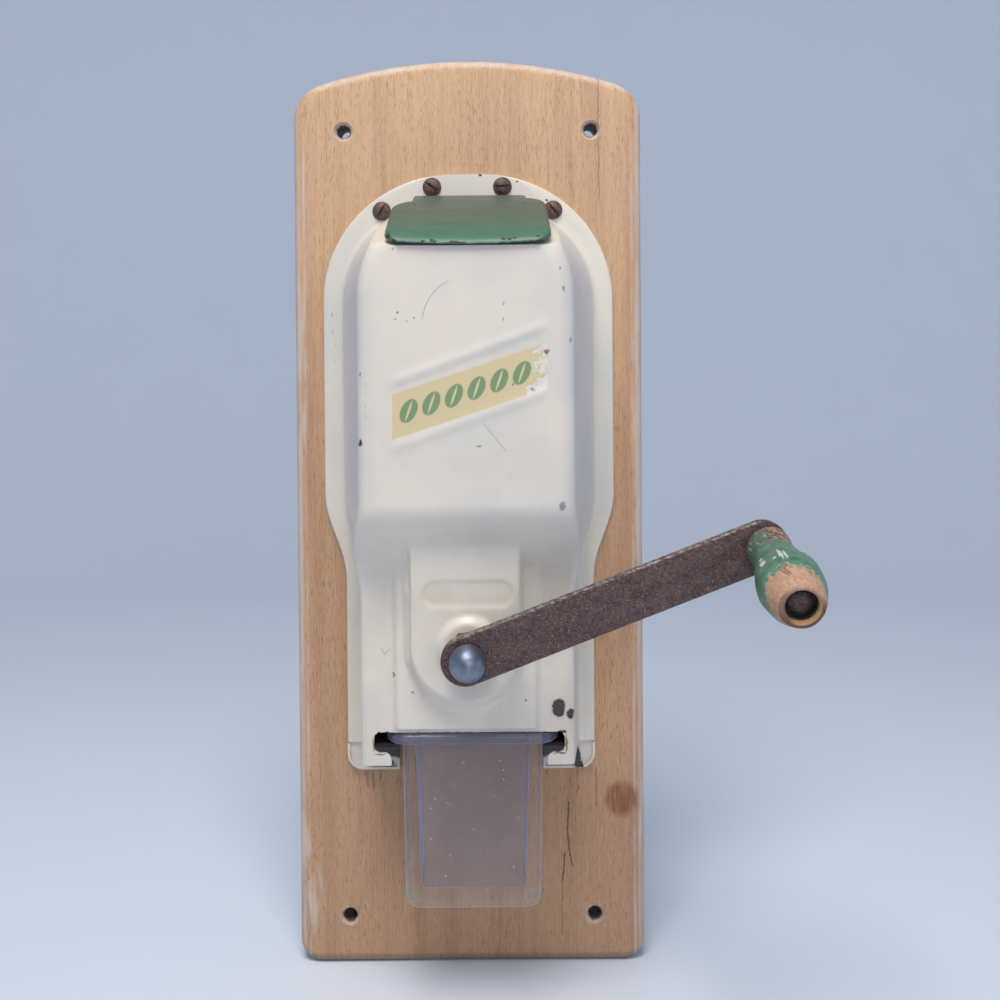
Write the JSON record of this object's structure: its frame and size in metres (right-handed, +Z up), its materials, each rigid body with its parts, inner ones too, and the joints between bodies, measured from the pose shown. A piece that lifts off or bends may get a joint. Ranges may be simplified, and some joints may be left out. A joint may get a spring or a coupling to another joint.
{
  "type": "wall mounted coffee mill",
  "caption": "Hand-cranked wall coffee mill: drawn steel hopper with hinged lid on a wooden board, conical burrs inside, crank with turned knob, clear cup below.",
  "frame": {"origin": "on the wall plane, midway between the four wall screw holes", "axes": "+Z up along the wall, +Y into the wall, +X to the right as the user faces the mill"},
  "size_m": [0.1824, 0.1346, 0.36],
  "materials": {
    "board_wood": "planed beech, oiled and worn",
    "enamel": "cream stove enamel, worn",
    "lid_paint": "grey-green stove enamel, scratched",
    "screw_steel": "browned and rusted",
    "bare_steel": "turned, dull",
    "sheet_steel": "dull sheet",
    "grinder_iron": "as cast",
    "burr_steel": "hardened, dark",
    "bush_brass": "turned",
    "crank_steel": "browned, speckled with rust",
    "dome_nickel": "worn nickel plate",
    "knob_paint": "turned wood, green paint worn through",
    "cup_clear": "clear moulded plastic, dusty and hazed"
  },
  "bodies": {
    "casing": {"backing_board": "board_wood", "back_plate": "enamel", "front_shell": "enamel", "flange_screws": "screw_steel", "hinge_leaf": "enamel", "hinge_pin": "bare_steel", "leaf_rivets": "bare_steel", "hopper_funnel": "sheet_steel", "funnel_rivets": "bare_steel", "burr_housing": "grinder_iron", "housing_screws": "screw_steel", "ring_burr": "burr_steel", "front_bush": "bush_brass", "rear_bush": "bush_brass", "thrust_spring": "bare_steel", "bush_nut": "crank_steel", "cup_rail_left": "sheet_steel", "cup_rail_right": "sheet_steel", "rail_rivets": "bare_steel"},
    "lid_body": {"lid": "lid_paint"},
    "grind_slide": {"thrust_washer": "bush_brass"},
    "adjuster": {"adjusting_nut": "crank_steel"},
    "crank": {"drive_shaft": "bare_steel", "cone_burr": "burr_steel", "burr_pin": "bare_steel", "crank_arm": "crank_steel", "lock_washer": "crank_steel", "dome_nut": "dome_nickel", "knob_pin": "crank_steel"},
    "knob": {"crank_knob": "knob_paint"},
    "cup": {"coffee_cup": "cup_clear"}
  },
  "joints": [
    {"name": "lid_hinge", "type": "hinge", "parent": "casing", "child": "lid_body", "pos_m": [0, -0.0254, 0.12646], "axis": [-1, 0, 0], "range_deg": [0, 90]},
    {"name": "grind_shift", "type": "slide", "parent": "casing", "child": "grind_slide", "axis": [0, -1, 0], "range_m": [-0.0005, 0.0005]},
    {"name": "adjuster_turn", "type": "hinge", "parent": "grind_slide", "child": "adjuster", "pos_m": [0, -0.05, -0.036], "axis": [0, -1, 0], "range_deg": [-180, 180]},
    {"name": "crank_turn", "type": "hinge", "parent": "grind_slide", "child": "crank", "pos_m": [0, -0.05, -0.036], "axis": [0, -1, 0], "continuous": true},
    {"name": "knob_spin", "type": "hinge", "parent": "crank", "child": "knob", "pos_m": [0.10269, -0.086, 0.00342], "axis": [0, -0.9744, -0.225], "continuous": true},
    {"name": "cup_slide", "type": "slide", "parent": "casing", "child": "cup", "axis": [0, -1, 0], "range_m": [0, 0.046]}
  ],
  "couplings": [
    {"joint": "adjuster_turn", "follows": "grind_shift", "rad_per_m": 6283}
  ]
}
